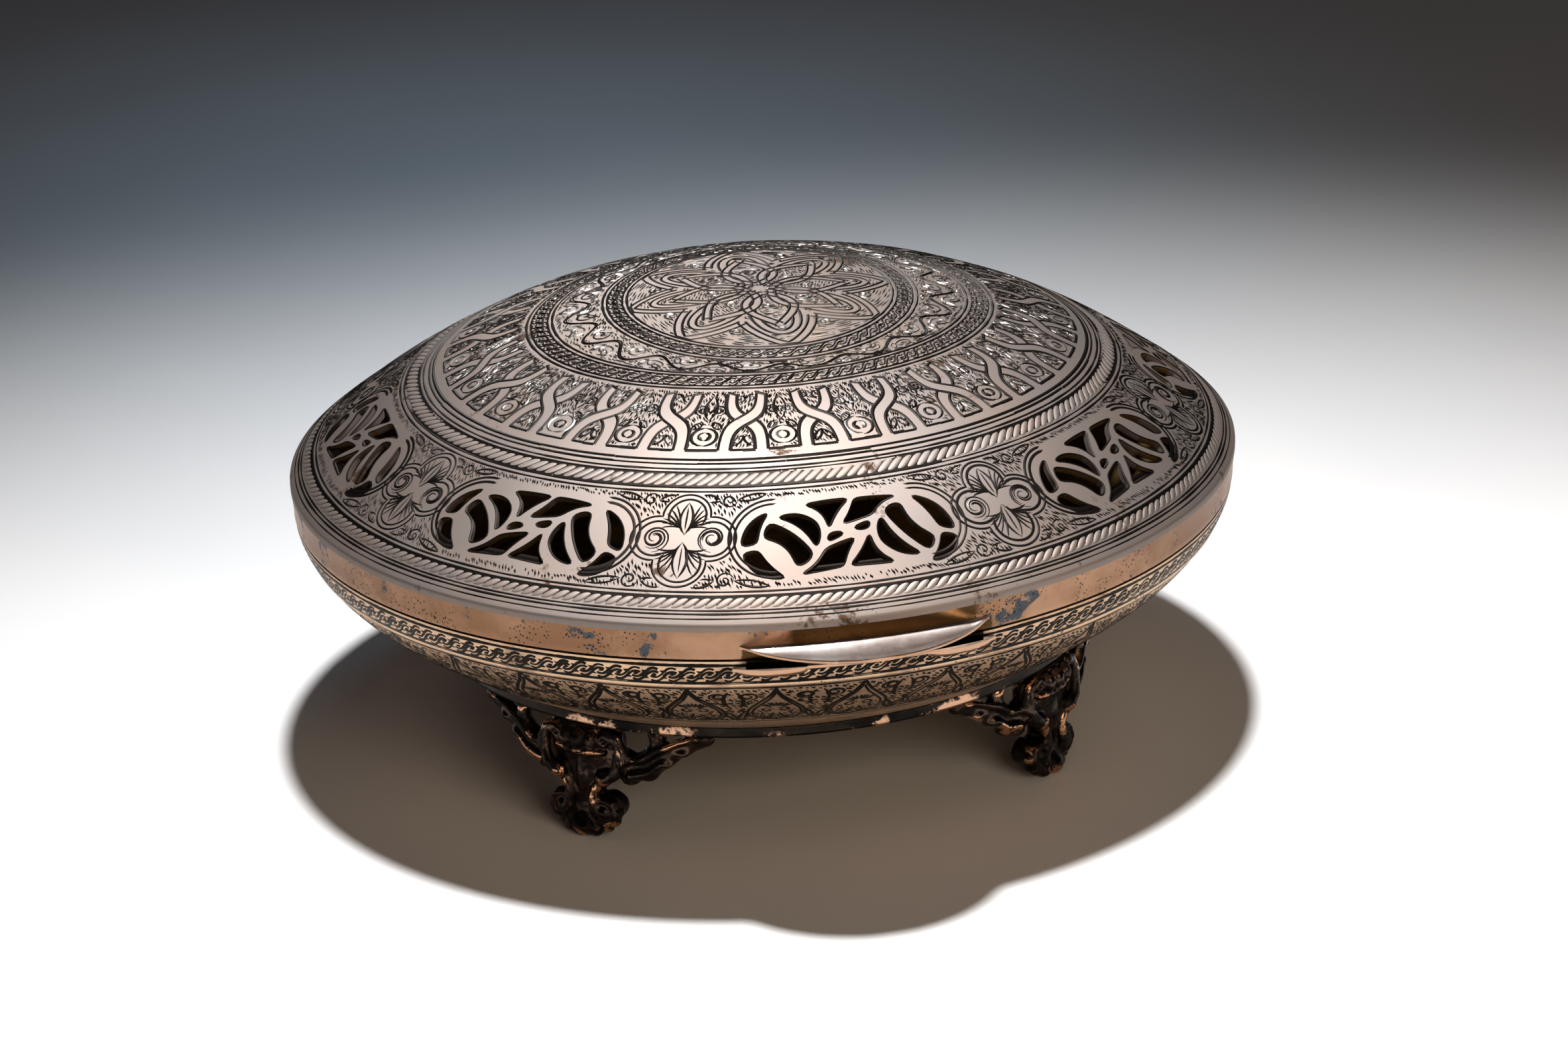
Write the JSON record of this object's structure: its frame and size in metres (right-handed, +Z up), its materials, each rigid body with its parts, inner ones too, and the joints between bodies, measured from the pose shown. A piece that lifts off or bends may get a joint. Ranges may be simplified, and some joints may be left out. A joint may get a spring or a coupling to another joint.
{
  "type": "lidded box",
  "caption": "Oval silvered box with a hinged, pierced and engraved domed lid, a shallow engraved bowl, a crescent thumb piece and cast scroll feet.",
  "frame": {"origin": "on the floor under the middle of the whole box, tongue and hinge included", "axes": "+Z up, -Y the front with the thumb piece, +Y the hinge, X along the oval's length"},
  "size_m": [0.176, 0.1712, 0.0862],
  "materials": {
    "engraved_silver": "engraved silver with dark lines and warm tarnish",
    "plain_silver": "plain worn silver over copper with tarnish patches",
    "bowl_silver": "engraved and darkly tarnished silver",
    "dark_base": "blackened strip with copper showing where it is worn",
    "cast_feet": "dark cast metal with copper-coloured high spots",
    "gilt_inside": "dull warm gilding"
  },
  "bodies": {
    "box": {"bowl_shell": "bowl_silver", "mouth_bezel": "gilt_inside", "finger_lip": "plain_silver", "bowl_hinge_leaf": "plain_silver", "hinge_pin": "plain_silver", "base_ring": "dark_base", "base_plate": "gilt_inside", "foot_front_right": "cast_feet", "foot_front_left": "cast_feet", "foot_rear_left": "cast_feet", "foot_rear_right": "cast_feet"},
    "lid": {"lid_dome": "engraved_silver", "lid_band": "plain_silver", "thumb_piece": "plain_silver", "lid_hinge_leaf": "plain_silver"}
  },
  "joints": [
    {"name": "lid_hinge", "type": "hinge", "parent": "box", "child": "lid", "pos_m": [0, 0.08345, 0.0484], "axis": [-1, 0, 0], "range_deg": [0, 100]}
  ]
}
